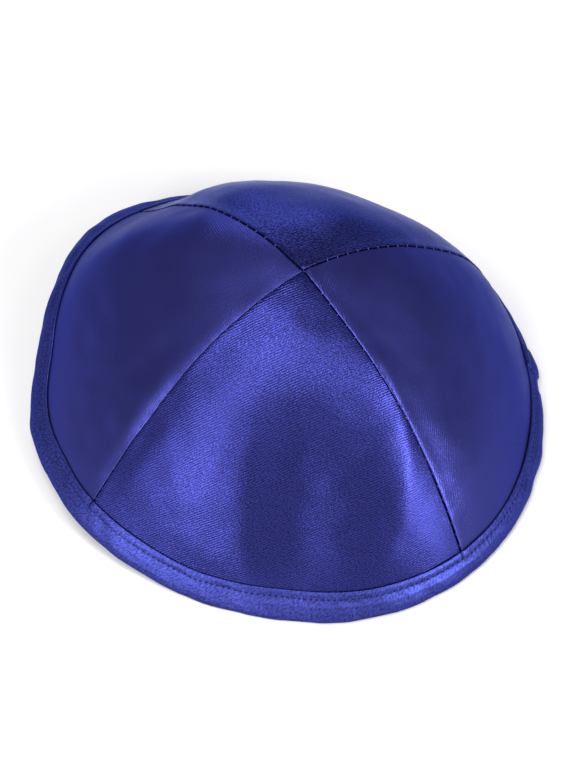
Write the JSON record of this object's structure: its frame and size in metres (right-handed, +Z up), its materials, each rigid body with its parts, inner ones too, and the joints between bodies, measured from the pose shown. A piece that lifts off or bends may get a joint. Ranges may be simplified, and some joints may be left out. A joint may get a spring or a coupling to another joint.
{
  "type": "kippah skullcap",
  "caption": "Round satin skullcap: curved triangular panels that meet at the crown, a bias binding folded round the rim, lying open side down.",
  "frame": {"origin": "middle of the rim seen from above, on the floor that the rim rests on", "axes": "+Z up from the floor to the crown, -Y towards the front panel, +X towards the right panel"},
  "size_m": [0.1612, 0.1602, 0.0688],
  "materials": {
    "cloth_satin": "satin",
    "tape_satin": "satin"
  },
  "bodies": {
    "root": {"panel_front": "cloth_satin", "panel_left": "cloth_satin", "panel_back": "cloth_satin", "panel_right": "cloth_satin", "rim_binding": "tape_satin"}
  },
  "joints": []
}
